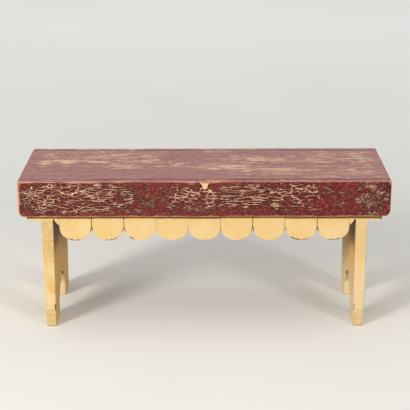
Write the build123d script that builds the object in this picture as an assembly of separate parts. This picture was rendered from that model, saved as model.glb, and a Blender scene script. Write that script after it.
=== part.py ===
from build123d import *
import os
from math import cos, pi, sin, sqrt

os.makedirs("parts", exist_ok=True)

# Wooden bench, sizes in millimetres
# +X runs along the bench, +Y to its back, +Z up; the origin is on the floor under its middle

# Seat box
seat_length = 1000.0
seat_depth = 320.0
seat_height = 425.0
face_board_height = 100.0
face_board_thickness = 20.0
face_corner_radius = 16.0
top_board_thickness = 20.0
top_seam = 1.2
arris_radius = 3.0
end_board_thickness = 20.0
end_board_height = 55.0

# Battens inside the seat box
ledger_width = 24.0
ledger_height = 24.0
cross_batten_offset = 140.0
cross_batten_width = 45.0
cross_batten_height = 20.0

# Legs
leg_thickness = 32.0
leg_inset = 59.0
leg_taper = 4.0
leg_taper_gap = 11.0
leg_edge_radius = 2.0
arch_width = 136.0
arch_spring_height = 42.0
arch_height = 106.0
arch_bulge = 9.0
foot_taper = 2.5
foot_taper_height = 36.0
nick_height = 61.0
nick_depth = 3.0
nick_half_height = 11.0
nick_reach = 40.0
cleat_width = 28.0
cleat_height = 30.0
cleat_end_gap = 6.0

# Scalloped apron
stave_pitch = 87.2
stave_gap = 0.8
stave_thickness = 11.0
stave_drop = 70.5
stave_end_rise = 34.5
stave_end_arcs = 4
end_strip_height = 14.0
end_strip_setback = 20.5
end_strip_corner = 10.0
end_bit_least_width = 12.0
end_bit_drop = 26.0
end_bit_neck = 7.5
end_bit_relief = 2.5
end_bit_bulge = 2.0
rail_thickness = 22.0
rail_drop = 42.0
rail_end_drop = 24.0
rail_top_gap = 20.0

# Screws, driven from inside so that no head shows
screw_shank = 4.0
screw_head = 8.0
screw_head_height = 2.4
screw_clearance = 0.3
apron_screw_cover = 3.0
apron_screw_spread = 24.0
apron_screw_rise = 30.0
end_bit_screw_inset = 6.0
board_screw_cover = 7.0
face_screw_middle = 60.0
face_screw_inset = 109.0
top_screw_middle = 90.0
top_screw_inset = 59.0
cross_screw_middle = 35.0
cross_screw_inset = 31.0
cleat_leg_screw_cover = 12.0
cleat_leg_screw_inset = 40.0
cleat_top_screw_middle = 30.0
cleat_top_screw_inset = 15.0

# Places that follow from these sizes
half_length = seat_length / 2
half_depth = seat_depth / 2
face_bottom = seat_height - face_board_height
top_underside = seat_height - top_board_thickness
face_back = half_depth - face_board_thickness
apron_front = face_back + stave_thickness
leg_outer = half_length - leg_inset
leg_inner = leg_outer - leg_thickness
strip_bottom = face_bottom - end_strip_height
ledger_back = face_back - ledger_width
ledger_bottom = top_underside - ledger_height
rail_bottom = face_bottom - rail_drop
rail_top = ledger_bottom - rail_top_gap
rail_back = face_back - rail_thickness
rail_end_bottom = face_bottom - rail_end_drop
leg_taper_top = rail_end_bottom - leg_taper_gap
cleat_half_length = ledger_back - cleat_end_gap
stave_count = int(2 * (leg_inner - end_bit_least_width) / stave_pitch)
last_joint = stave_count * stave_pitch / 2
stave_half_width = (stave_pitch - stave_gap) / 2
sides = {"left": -1, "right": 1}


def block(x_range, y_range, z_range):
    size = [high - low for low, high in (x_range, y_range, z_range)]
    middle = [(high + low) / 2 for low, high in (x_range, y_range, z_range)]
    return Pos(*middle) * Box(*size)


def front_plate(outline, outer, inner):
    face = Plane.XZ.offset(outer) * make_face(outline)
    return extrude(face, amount=inner - outer)


def to_back(piece):
    return piece.mirror(Plane.XZ)


def to_right(piece):
    return piece.mirror(Plane.YZ)


def screw(start, direction, length, extra=0.0):
    place = Plane(origin=start, z_dir=direction)
    base = (Align.CENTER, Align.CENTER, Align.MIN)
    head = Cylinder(screw_head / 2 + extra, screw_head_height, align=base)
    shank = Pos(0, 0, screw_head_height) * Cylinder(
        screw_shank / 2 + extra, length - screw_head_height + extra, align=base
    )
    return place * (head + shank)


def drilled(piece, seats):
    for start, direction, length in seats:
        piece = piece - screw(start, direction, length, screw_clearance)
    return piece


# Where each screw starts, the way it points and its length, on the front or the left half
face_screw_bite = face_board_thickness - board_screw_cover
top_screw_bite = top_board_thickness - board_screw_cover
apron_screw_length = rail_thickness + stave_thickness - apron_screw_cover
rail_screw_length = rail_thickness + face_screw_bite
ledger_screw_length = ledger_width + face_screw_bite
ledger_top_screw_length = ledger_height + top_screw_bite
cross_screw_length = cross_batten_height + top_screw_bite
cleat_leg_screw_length = cleat_width + leg_thickness - cleat_leg_screw_cover
cleat_top_screw_length = cleat_height + top_screw_bite

face_screw_offsets = (face_screw_middle, leg_inner - face_screw_inset)
top_screw_offsets = (top_screw_middle, leg_inner - top_screw_inset)
cross_screw_offsets = (cross_screw_middle, ledger_back - cross_screw_inset)
cleat_top_screw_offsets = (cleat_top_screw_middle, cleat_half_length - cleat_top_screw_inset)
cleat_leg_screw_offset = cleat_half_length - cleat_leg_screw_inset

apron_screw_height = rail_bottom + apron_screw_rise
rail_screw_height = (face_bottom + rail_top) / 2
ledger_screw_height = top_underside - ledger_height / 2
ledger_screw_depth = face_back - ledger_width / 2
cleat_face = leg_inner - cleat_width
cleat_middle = leg_inner - cleat_width / 2
cleat_screw_height = top_underside - cleat_height / 2
stave_centres = [(i + 0.5) * stave_pitch - last_joint for i in range(stave_count)]
end_screw_x = last_joint + end_bit_screw_inset

stave_seats = [
    [
        ((x + side * apron_screw_spread, -rail_back, apron_screw_height), (0, -1, 0), apron_screw_length)
        for side in sides.values()
    ]
    for x in stave_centres
]
end_stave_seat = ((-end_screw_x, -rail_back, apron_screw_height), (0, -1, 0), apron_screw_length)
other_end_seat = ((end_screw_x, -rail_back, apron_screw_height), (0, -1, 0), apron_screw_length)
rail_seats = [
    ((side * x, -rail_back, rail_screw_height), (0, -1, 0), rail_screw_length)
    for x in face_screw_offsets
    for side in sides.values()
]
ledger_face_seats = [
    ((side * x, -ledger_back, ledger_screw_height), (0, -1, 0), ledger_screw_length)
    for x in face_screw_offsets
    for side in sides.values()
]
ledger_top_seats = [
    ((side * x, -ledger_screw_depth, ledger_bottom), (0, 0, 1), ledger_top_screw_length)
    for x in top_screw_offsets
    for side in sides.values()
]
cross_seats = [
    ((-cross_batten_offset, side * y, top_underside - cross_batten_height), (0, 0, 1), cross_screw_length)
    for y in cross_screw_offsets
    for side in sides.values()
]
cleat_leg_seats = [
    ((-cleat_face, side * cleat_leg_screw_offset, cleat_screw_height), (-1, 0, 0), cleat_leg_screw_length)
    for side in sides.values()
]
cleat_top_seats = [
    ((-cleat_middle, side * y, top_underside - cleat_height), (0, 0, 1), cleat_top_screw_length)
    for y in cleat_top_screw_offsets
    for side in sides.values()
]


def mirrored_seats(seats):
    return [((-x, y, z), (-dx, dy, dz), length) for (x, y, z), (dx, dy, dz), length in seats]


top_seats = ledger_top_seats
for one_side in (cross_seats, cleat_top_seats):
    top_seats = top_seats + one_side + mirrored_seats(one_side)
front_top_seats = [seat for seat in top_seats if seat[0][1] < 0]


# Front and back boards of the seat, with rounded lower corners
def make_face_board():
    low = face_bottom + face_corner_radius
    corner_x = half_length - face_corner_radius
    turn = face_corner_radius * sqrt(0.5)
    outline = [
        Line((-half_length, seat_height), (half_length, seat_height)),
        Line((half_length, seat_height), (half_length, low)),
        ThreePointArc((half_length, low), (corner_x + turn, low - turn), (corner_x, face_bottom)),
        Line((corner_x, face_bottom), (-corner_x, face_bottom)),
        ThreePointArc((-corner_x, face_bottom), (-corner_x - turn, low - turn), (-half_length, low)),
        Line((-half_length, low), (-half_length, seat_height)),
    ]
    board = front_plate(outline, half_depth, face_back)
    outer_face = board.faces().sort_by(Axis.Y)[0]
    board = fillet(outer_face.edges(), arris_radius)
    return drilled(board, rail_seats + ledger_face_seats)


# Two boards that lie between them, with an open seam on each side
def make_top_board():
    board = block(
        (-half_length, half_length),
        (top_seam - face_back, -top_seam / 2),
        (top_underside, seat_height),
    )
    top_ends = board.faces().sort_by(Axis.Z)[-1].edges().filter_by(Axis.Y)
    return drilled(fillet(top_ends, arris_radius), front_top_seats)


def make_end_board():
    return block(
        (-half_length, end_board_thickness - half_length),
        (-face_back, face_back),
        (top_underside - end_board_height, top_underside),
    )


# Battens that tie the boards together from inside
def make_ledger():
    batten = block((-leg_inner, leg_inner), (-face_back, -ledger_back), (ledger_bottom, top_underside))
    return drilled(batten, ledger_face_seats + ledger_top_seats)


def make_cross_batten():
    half_width = cross_batten_width / 2
    batten = block(
        (-cross_batten_offset - half_width, half_width - cross_batten_offset),
        (-ledger_back, ledger_back),
        (top_underside - cross_batten_height, top_underside),
    )
    return drilled(batten, cross_seats)


def make_leg_cleat():
    cleat = block(
        (-leg_inner, -cleat_face),
        (-cleat_half_length, cleat_half_length),
        (top_underside - cleat_height, top_underside),
    )
    return drilled(cleat, cleat_leg_seats + cleat_top_seats)


# Leg panel on edge, notched at the top for the face boards and the end staves
def leg_outline():
    half_arch = arch_width / 2
    rise = arch_height - arch_spring_height
    chord = sqrt(half_arch**2 + rise**2)
    haunch_y = half_arch / 2 + arch_bulge * rise / chord
    haunch_z = arch_spring_height + rise / 2 + arch_bulge * half_arch / chord
    return [
        Line((-apron_front, 0), (-half_arch, 0)),
        Line((-half_arch, 0), (-half_arch, arch_spring_height)),
        ThreePointArc((-half_arch, arch_spring_height), (-haunch_y, haunch_z), (0, arch_height)),
        ThreePointArc((0, arch_height), (haunch_y, haunch_z), (half_arch, arch_spring_height)),
        Line((half_arch, arch_spring_height), (half_arch, 0)),
        Line((half_arch, 0), (apron_front, 0)),
        Line((apron_front, 0), (apron_front, strip_bottom)),
        Line((apron_front, strip_bottom), (face_back, strip_bottom)),
        Line((face_back, strip_bottom), (face_back, top_underside)),
        Line((face_back, top_underside), (-face_back, top_underside)),
        Line((-face_back, top_underside), (-face_back, strip_bottom)),
        Line((-face_back, strip_bottom), (-apron_front, strip_bottom)),
        Line((-apron_front, strip_bottom), (-apron_front, 0)),
    ]


# A V cut that is filed across one upright corner of a foot
def corner_nick(x, y, x_side, y_side):
    into = Vector(-x_side, -y_side, 0).normalized()
    along = Vector(0, 0, 1).cross(into)
    corner = Vector(x, y, nick_height)
    plane = Plane(origin=corner - along * (nick_reach / 2), x_dir=into, z_dir=along)
    mouth = nick_half_height * 2
    cut = Polyline((-nick_depth, mouth), (-nick_depth, -mouth), (nick_depth, 0), close=True)
    return extrude(plane * make_face(cut), amount=nick_reach)


def make_leg():
    face = Plane.YZ.offset(-leg_outer) * make_face(leg_outline())
    panel = extrude(face, amount=leg_thickness)
    upright = panel.edges().filter_by(Axis.Z).group_by(Axis.Y)
    panel = fillet(upright[0] + upright[-1], leg_edge_radius)
    inner_cut = Polyline(
        (-leg_inner, leg_taper_top), (-leg_inner, 0), (-leg_inner - leg_taper, 0), close=True
    )
    outer_cut = Polyline(
        (-leg_outer, foot_taper_height), (-leg_outer, 0), (foot_taper - leg_outer, 0), close=True
    )
    for outline in (inner_cut, outer_cut):
        panel = panel - front_plate(outline, half_depth, -half_depth)
    inner_at_nick = leg_inner + leg_taper * (1 - nick_height / leg_taper_top)
    for y_side in sides.values():
        panel = panel - corner_nick(-leg_outer, y_side * apron_front, -1, y_side)
        panel = panel - corner_nick(-inner_at_nick, y_side * apron_front, 1, y_side)
    return drilled(panel, cleat_leg_seats)


# One stave, whose lower end is half an ellipse, drawn with short arcs
def make_stave(index):
    x = stave_centres[index]
    corner_z = face_bottom - stave_drop + stave_end_rise
    left, right = x - stave_half_width, x + stave_half_width
    turns = [pi * step / (2 * stave_end_arcs) for step in range(2 * stave_end_arcs + 1)]
    ends = [(x + stave_half_width * cos(turn), corner_z - stave_end_rise * sin(turn)) for turn in turns]
    outline = [
        Line((left, face_bottom), (right, face_bottom)),
        Line((right, face_bottom), (right, corner_z)),
        *[ThreePointArc(*ends[2 * arc:2 * arc + 3]) for arc in range(stave_end_arcs)],
        Line((left, corner_z), (left, face_bottom)),
    ]
    return drilled(front_plate(outline, apron_front, face_back), stave_seats[index])


# The last stave at each end, cut away to a strip over the leg
def make_end_stave():
    tail = end_strip_setback - half_length
    joint = -last_joint - stave_gap / 2
    neck_z = face_bottom - end_bit_neck
    bit_z = face_bottom - end_bit_drop
    neck_x = end_bit_relief - leg_inner
    corner = min(end_strip_corner, end_strip_height - arris_radius / 2)
    turn = corner * (1 - sqrt(0.5))
    width, height = joint - neck_x, neck_z - bit_z
    bulge = end_bit_bulge / sqrt(width**2 + height**2)
    middle = ((joint + neck_x) / 2 - bulge * height, (neck_z + bit_z) / 2 - bulge * width)
    outline = [
        Line((tail, face_bottom), (joint, face_bottom)),
        Line((joint, face_bottom), (joint, bit_z)),
        ThreePointArc((joint, bit_z), middle, (neck_x, neck_z)),
        Line((neck_x, neck_z), (-leg_inner, neck_z)),
        Line((-leg_inner, neck_z), (-leg_inner, strip_bottom)),
        Line((-leg_inner, strip_bottom), (tail + corner, strip_bottom)),
        ThreePointArc(
            (tail + corner, strip_bottom), (tail + turn, strip_bottom + turn), (tail, strip_bottom + corner)
        ),
        Line((tail, strip_bottom + corner), (tail, face_bottom)),
    ]
    return drilled(front_plate(outline, apron_front, face_back), [end_stave_seat])


# Rail behind the staves, shallower at its ends behind the end staves
def make_rail():
    deep_half = last_joint - (rail_end_bottom - rail_bottom)
    outline = Polyline(
        (leg_inner, rail_top), (-leg_inner, rail_top), (-leg_inner, rail_end_bottom),
        (-last_joint, rail_end_bottom), (-deep_half, rail_bottom), (deep_half, rail_bottom),
        (last_joint, rail_end_bottom), (leg_inner, rail_end_bottom), close=True
    )
    rail = front_plate(outline, face_back, rail_back)
    seats = sum(stave_seats, []) + [end_stave_seat, other_end_seat] + rail_seats
    return drilled(rail, seats)


def screw_set(seats):
    return [screw(*seat) for seat in seats]


nodes = {}


def add_front_and_back(name, ending, piece):
    nodes[f"{name}_front{ending}"] = [piece]
    nodes[f"{name}_back{ending}"] = [to_back(piece)]


def add_left_and_right(name, piece):
    nodes[f"{name}_left"] = [piece]
    nodes[f"{name}_right"] = [to_right(piece)]


add_front_and_back("seat_top", "", make_top_board())
add_front_and_back("seat_face", "", make_face_board())
add_left_and_right("seat_end", make_end_board())
add_front_and_back("seat_ledger", "", make_ledger())
add_left_and_right("seat_batten", make_cross_batten())
add_left_and_right("leg", make_leg())
add_left_and_right("leg_cleat", make_leg_cleat())
add_front_and_back("apron_rail", "", make_rail())
for index in range(stave_count):
    add_front_and_back("stave", f"_{index + 1}", make_stave(index))
end_stave = make_end_stave()
add_front_and_back("end_stave", "_left", end_stave)
add_front_and_back("end_stave", "_right", to_right(end_stave))

apron_screws = screw_set(sum(stave_seats, []) + [end_stave_seat, other_end_seat])
face_screws = screw_set(rail_seats + ledger_face_seats)
ledger_screws = screw_set(ledger_top_seats)
cross_screws = screw_set(cross_seats)
cleat_screws = screw_set(cleat_leg_seats + cleat_top_seats)
nodes["apron_screws"] = apron_screws + [to_back(piece) for piece in apron_screws]
nodes["face_screws"] = face_screws + [to_back(piece) for piece in face_screws]
nodes["top_screws"] = ledger_screws + [to_back(piece) for piece in ledger_screws]
nodes["batten_screws"] = cross_screws + [to_right(piece) for piece in cross_screws]
nodes["cleat_screws"] = cleat_screws + [to_right(piece) for piece in cleat_screws]

for name, pieces in nodes.items():
    solids = [solid for piece in pieces for solid in piece.solids()]
    shape = solids[0] if len(solids) == 1 else Compound(children=solids)
    shape.label = name
    export_step(shape, f"parts/{name}.step")
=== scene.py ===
"""Wooden bench: a crackled burgundy seat, a scalloped yellow apron and two arched leg panels."""
import math

import bpy
import numpy as np
from mathutils import Matrix, Vector
from mathutils.geometry import delaunay_2d_cdt


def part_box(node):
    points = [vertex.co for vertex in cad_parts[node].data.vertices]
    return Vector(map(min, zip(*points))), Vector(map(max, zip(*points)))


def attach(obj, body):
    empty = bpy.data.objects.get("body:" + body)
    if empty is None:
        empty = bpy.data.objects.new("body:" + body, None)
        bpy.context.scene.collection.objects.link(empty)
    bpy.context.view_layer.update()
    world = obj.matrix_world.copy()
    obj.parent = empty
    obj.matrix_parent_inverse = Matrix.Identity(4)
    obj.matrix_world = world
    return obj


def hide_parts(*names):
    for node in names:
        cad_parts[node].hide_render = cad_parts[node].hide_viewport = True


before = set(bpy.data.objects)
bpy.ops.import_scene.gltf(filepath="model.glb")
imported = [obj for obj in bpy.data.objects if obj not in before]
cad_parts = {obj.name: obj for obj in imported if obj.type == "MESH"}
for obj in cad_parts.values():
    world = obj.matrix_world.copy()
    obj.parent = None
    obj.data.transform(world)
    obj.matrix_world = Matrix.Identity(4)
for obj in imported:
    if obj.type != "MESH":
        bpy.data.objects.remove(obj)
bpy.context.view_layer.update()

MM = 0.001
SAME = 1e-6
BODY = "root"

# Shapes that the boxes of the CAD nodes don't give, in metres
face_corner = 16 * MM
face_top_corner = 4 * MM
face_arris = 3.0 * MM
top_arris = 0.8 * MM
top_end_arris = 3.0 * MM
end_arris = 1.2 * MM
strip_arris = 0.7 * MM
strip_back_arris = 0.5 * MM
leg_arris = 2.2 * MM
leg_inner_arris = 0.9 * MM
arch_half_width = 68 * MM
arch_spring = 42 * MM
arch_top = 106 * MM
arch_haunch = (39.8 * MM, 80.6 * MM)
shoulder_height = 311 * MM
shoulder_half_depth = 140 * MM
leg_taper = 4 * MM
leg_taper_top = 290 * MM
stave_end_rise = 34.5 * MM
stave_end_arcs = 4
foot_taper = 2.5 * MM
foot_taper_top = 36 * MM
nick_height = 61 * MM
nick_depth = 3 * MM
nick_half_height = 11 * MM
nick_margin = 15 * MM
scribe_height = 60 * MM
strip_corner = 10 * MM
bit_neck = 7.5 * MM
bit_drop = 26 * MM
bit_relief = 2.5 * MM
bit_bulge = 2.0 * MM

# Spacing of the points of the meshes
face_step = 3.5 * MM
face_corner_step = 2 * MM
face_top_corner_step = 1 * MM
top_step = 4 * MM
stave_step = 4 * MM
stave_side_step = 3 * MM
stave_end_step = 2.2 * MM
bit_step = 1.5 * MM
strip_corner_step = 2 * MM
strip_tail_step = 1.2 * MM
leg_step = 5 * MM
leg_wall_step = 3.2 * MM
foot_step = 4 * MM
arch_step = 3 * MM
nick_step = 0.75 * MM
# How far inner points keep from a ring and from a finer box, in steps, and the rim of a flat cap
ring_margin, fine_margin = 0.45, 0.3
cap_rim = 0.6 * MM


# ---------------------------------------------------------------- small helpers

def smooth(low, high, x):
    t = np.clip((x - low) / (high - low), 0, 1)
    return t * t * (3 - 2 * t)


def most(*layers):
    return np.maximum.reduce(layers)


def patch(u, v, box, soft):
    """1 inside a box, falling softly to 0 round it."""
    u0, u1, v0, v1 = box
    su, sv = soft
    along = smooth(u0 - su, u0 + su, u) * (1 - smooth(u1 - su, u1 + su, u))
    return along * smooth(v0 - sv, v0 + sv, v) * (1 - smooth(v1 - sv, v1 + sv, v))


def wander(u, v, length, seed):
    """A slow, even wave over a surface, between about -1 and 1."""
    draw = np.random.default_rng(seed)
    total = np.zeros_like(u)
    for _ in range(7):
        turn, phase = draw.uniform(0, 2 * math.pi, 2)
        pace = 2 * math.pi / (length * draw.uniform(0.6, 1.6))
        total += np.sin(pace * (u * math.cos(turn) + v * math.sin(turn)) + phase)
    return np.clip(total / 3.5, -1, 1)


def arc_points(start, middle, end):
    """Centre, radius and angles of the arc through three points."""
    (ax, ay), (bx, by), (cx, cy) = start, middle, end
    d = 2 * (ax * (by - cy) + bx * (cy - ay) + cx * (ay - by))
    aa, bb, cc = ax * ax + ay * ay, bx * bx + by * by, cx * cx + cy * cy
    ux = (aa * (by - cy) + bb * (cy - ay) + cc * (ay - by)) / d
    uy = (aa * (cx - bx) + bb * (ax - cx) + cc * (bx - ax)) / d
    radius = math.hypot(ax - ux, ay - uy)
    a0 = math.atan2(ay - uy, ax - ux)
    a1 = math.atan2(by - uy, bx - ux)
    a2 = math.atan2(cy - uy, cx - ux)
    turn = 2 * math.pi
    left_way = ((a1 - a0) % turn) < ((a2 - a0) % turn)
    sweep = (a2 - a0) % turn if left_way else -((a0 - a2) % turn)
    return (ux, uy), radius, a0, sweep


def chain(start, *moves):
    """Points from place to place: each move has an end, for an arc a point on it first, and a spacing."""
    points = []
    for *marks, end, step in moves:
        if marks:
            centre, radius, a0, sweep = arc_points(start, marks[0], end)
            count = max(4, round(abs(sweep) * radius / step))
            angles = [a0 + sweep * i / count for i in range(count)]
            points += [np.array(centre) + radius * np.array([math.cos(a), math.sin(a)]) for a in angles]
        else:
            way = np.array(end) - np.array(start)
            count = max(1, round(float(np.linalg.norm(way)) / step))
            points += [np.array(start) + way * i / count for i in range(count)]
        start = end
    return np.array(points)


# ---------------------------------------------------------------- boards

def inward(outline):
    """At each point of an outline, the way in that keeps both its edges parallel."""
    edge = np.roll(outline, -1, 0) - outline
    edge /= np.linalg.norm(edge, axis=1)[:, None]
    after = np.stack([-edge[:, 1], edge[:, 0]], 1)
    before = np.roll(after, 1, 0)
    return (before + after) / (1 + (before * after).sum(1))[:, None]


def inside(points, ring):
    """Which points lie inside a closed ring, and how far each is from it."""
    within = np.zeros(len(points), bool)
    nearest = np.full(len(points), 1e9)
    for (ax, ay), (bx, by) in zip(ring, np.roll(ring, -1, 0)):
        if ay != by:
            crosses = (ay > points[:, 1]) != (by > points[:, 1])
            within ^= crosses & (points[:, 0] < (bx - ax) * (points[:, 1] - ay) / (by - ay) + ax)
        way = np.array([bx - ax, by - ay])
        along = np.clip(((points - [ax, ay]) @ way) / (way @ way), 0, 1)
        gap = np.hypot(points[:, 0] - ax - along * way[0], points[:, 1] - ay - along * way[1])
        nearest = np.minimum(nearest, gap)
    return within, nearest


def cap(ring, grid, fine=()):
    """Triangles that fill a ring: its own points come first, then a grid of inner points."""
    low, high = ring.min(0), ring.max(0)
    seeds = [(low[0], high[0], low[1], high[1], grid), *fine]
    inner = np.zeros((0, 2))
    for u0, u1, v0, v1, step in reversed(seeds):
        us = np.arange(u0 + step / 2, u1, step)
        vs = np.arange(v0 + step / 2, v1, step)
        spots = np.stack(np.meshgrid(us, vs), -1).reshape(-1, 2)
        within, gap = inside(spots, ring)
        keep = within & (gap > step * ring_margin)
        if (u0, u1, v0, v1, step) == seeds[0]:
            for a0, a1, b0, b1, _ in fine:
                edge = step * fine_margin
                keep &= ~((spots[:, 0] > a0 - edge) & (spots[:, 0] < a1 + edge)
                          & (spots[:, 1] > b0 - edge) & (spots[:, 1] < b1 + edge))
        inner = np.concatenate([inner, spots[keep]])
    points = np.concatenate([ring, inner])
    found = delaunay_2d_cdt([Vector(p) for p in points], [], [list(range(len(ring)))], 1, 1e-9)
    origin = [ids[0] for ids in found[3]]
    triangles = [[origin[i] for i in face] for face in found[2]]
    return inner, triangles


class Board:
    """A board with a flat outline (u, v), rounded arrises and a depth d that runs in from its outer face."""

    def __init__(self, outline, thickness, arris, grid, back_arris=0.8 * MM, wall=6 * MM, rounds=4,
                 uneven=0.3, seed=1, fine=(), back_grid=None):
        n = len(outline)
        way_in = inward(outline)
        radius = arris(outline) if callable(arris) else np.full(n, arris)
        along = np.cumsum(np.linalg.norm(np.roll(outline, -1, 0) - outline, axis=1))
        radius = radius * (1 + uneven * wander(along, along * 0, 0.09, seed))
        back = np.full(n, back_arris)
        rows = []  # inset, depth, length along the skin from the front cap, gap to an arris
        for k in range(rounds + 1):
            a = math.pi / 2 * k / rounds
            rows.append((radius * (1 - math.sin(a)), radius * (1 - math.cos(a)), radius * a,
                         radius * abs(a - math.pi / 4)))
        walls = max(1, round((thickness - radius.max() - back_arris) / wall))
        for k in range(1, walls):
            depth = radius + (thickness - back - radius) * k / walls
            skin = radius * (math.pi / 2 - 1) + depth
            gap = np.minimum(depth - radius * (1 - math.pi / 4), thickness - depth)
            rows.append((np.zeros(n), depth, skin, gap))
        for k in range(rounds + 1):
            a = math.pi / 2 * k / rounds
            depth = thickness - back * (1 - math.sin(a))
            rows.append((back * (1 - math.cos(a)), depth, radius * (math.pi / 2 - 1) + depth,
                         back * abs(a - math.pi / 4)))
        flat = [outline + way_in * (radius - skin)[:, None] for _, _, skin, _ in rows]
        spots = [outline + way_in * inset[:, None] for inset, *_ in rows]
        depths = [depth for _, depth, *_ in rows]
        rims = [gap for *_, gap in rows]
        count = len(rows)
        faces = []
        for j in range(count - 1):
            for i in range(n):
                after = (i + 1) % n
                faces.append((j * n + i, (j + 1) * n + i, (j + 1) * n + after, j * n + after))
        total = count * n
        for first, ring, step, refine in ((0, spots[0], grid, fine),
                                          ((count - 1) * n, spots[-1], back_grid or grid * 3, ())):
            inner, triangles = cap(ring, step, refine)
            shift = total - n
            for face in triangles:
                ids = [first + i if i < n else shift + i for i in face]
                faces.append(tuple(ids if first == 0 else reversed(ids)))
            _, gap = inside(inner, ring) if len(inner) else (None, np.zeros(0))
            spots.append(inner)
            flat.append(inner)
            depths.append(np.full(len(inner), 0.0 if first == 0 else thickness))
            rims.append(gap + cap_rim)
            total += len(inner)
        self.faces = faces
        self.u, self.v = np.concatenate(spots).T
        self.flat_u, self.flat_v = np.concatenate(flat).T
        self.depth = np.concatenate(depths)
        self.rim = np.concatenate(rims)
        self.thickness = thickness
        self.seed = seed
        self.values = {}

    def press(self, amount):
        """Dents the outer face; the dent fades towards the inner face."""
        self.depth = self.depth + amount * (1 - self.depth / self.thickness)

    def dent(self, length, depth, seed):
        """Slow, even dents all over the outer face."""
        self.press((wander(self.flat_u, self.flat_v, length, seed) + 1) * depth)

    def make(self, node, ways, material, slot):
        """Puts the board over its CAD node, with its outer face at that side of the node's box."""
        low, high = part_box(node)
        u_way, v_way, out = (np.array(way, float) for way in ways)
        origin = np.where(out > 0, high, np.where(out < 0, low, 0))
        where = origin + self.u[:, None] * u_way + self.v[:, None] * v_way - self.depth[:, None] * out
        where = self.reshape(where)
        piece(node + "_painted", where, self.faces, self.attributes(), material, [node])

    def reshape(self, where):
        return where

    def attributes(self):
        flat = np.stack([self.flat_u, self.flat_v, np.full(len(self.u), self.seed * 0.37)], 1)
        return {"flat": flat, "rim": self.rim, **self.values}


def piece(name, where, faces, values, material, nodes):
    """A new mesh of the bench, riding on its one body, in place of its CAD nodes."""
    mesh = bpy.data.meshes.new(name)
    mesh.from_pydata(where.tolist(), [], faces)
    mesh.polygons.foreach_set("use_smooth", np.ones(len(mesh.polygons), bool))
    for key, value in values.items():
        kind = "FLOAT_VECTOR" if value.ndim == 2 else "FLOAT"
        field = "vector" if value.ndim == 2 else "value"
        mesh.attributes.new(key, kind, "POINT").data.foreach_set(field, value.astype(np.float32).ravel())
    mesh.update()
    made = bpy.data.objects.new(name, mesh)
    bpy.context.scene.collection.objects.link(made)
    mesh.materials.append(material)
    normals = made.modifiers.new("normals", "WEIGHTED_NORMAL")
    normals.weight = 60
    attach(made, BODY)
    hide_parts(*nodes)


# ---------------------------------------------------------------- materials

def tint(red, green, blue):
    """A colour as a screen shows it, from 0 to 255, in the scene's linear values."""
    def linear(c):
        c /= 255
        return c / 12.92 if c <= 0.04045 else ((c + 0.055) / 1.055) ** 2.4
    return (linear(red), linear(green), linear(blue), 1.0)


class Tree:
    """The node tree of a material or a world, with short ways to add its nodes."""

    def __init__(self, owner):
        owner.use_nodes = True
        self.nodes = owner.node_tree.nodes
        self.links = owner.node_tree.links
        self.nodes.clear()

    def add(self, kind, inputs, **settings):
        node = self.nodes.new("ShaderNode" + kind)
        for key, value in settings.items():
            setattr(node, key, value)
        for key, value in inputs.items():
            if isinstance(value, bpy.types.NodeSocket):
                self.links.new(value, node.inputs[key])
            else:
                node.inputs[key].default_value = value
        return node

    def attribute(self, name, part="Fac"):
        return self.add("Attribute", {}, attribute_name=name).outputs[part]

    def place(self):
        return self.add("TexCoord", {}).outputs["Object"]

    def math(self, way, a, b=0.0, c=0.0):
        return self.add("Math", {0: a, 1: b, 2: c}, operation=way).outputs[0]

    def plus(self, a, b):
        return self.math("ADD", a, b)

    def minus(self, a, b):
        return self.math("SUBTRACT", a, b)

    def times(self, a, b):
        return self.math("MULTIPLY", a, b)

    def over(self, a, b):
        return self.math("DIVIDE", a, b)

    def most(self, first, *others):
        for other in others:
            first = self.math("MAXIMUM", first, other)
        return first

    def vector(self, way, a, b):
        return self.add("VectorMath", {0: a, 1: b}, operation=way).outputs[0]

    def split(self, vector):
        return self.add("SeparateXYZ", {0: vector}).outputs

    def noise(self, spot, scale=1.0, detail=3.0, rough=0.55, warp=0.0, colour=False):
        node = self.add("TexNoise", {"Vector": spot, "Scale": scale, "Detail": detail,
                                     "Roughness": rough, "Distortion": warp})
        return node.outputs[1 if colour else 0]

    def grain(self, spot, stretch, detail, rough=0.55, warp=0.0):
        """Noise that is stretched: how many waves to a metre, along each axis."""
        return self.noise(self.vector("MULTIPLY", spot, stretch), 1.0, detail, rough, warp)

    def step(self, value, low, high, start=0.0, end=1.0):
        return self.add("MapRange", {0: value, 1: low, 2: high, 3: start, 4: end},
                        interpolation_type="SMOOTHSTEP").outputs[0]

    def mix(self, share, a, b, way="MIX"):
        node = self.add("Mix", {0: share, 6: a, 7: b}, data_type="RGBA", blend_type=way)
        return node.outputs[2]

    def seen(self):
        """1 where a ray comes from the eye, straight or by way of a mirror or glass."""
        rays = self.add("LightPath", {}).outputs
        return self.most(rays["Is Camera Ray"], rays["Is Glossy Ray"], rays["Is Transmission Ray"])


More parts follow.
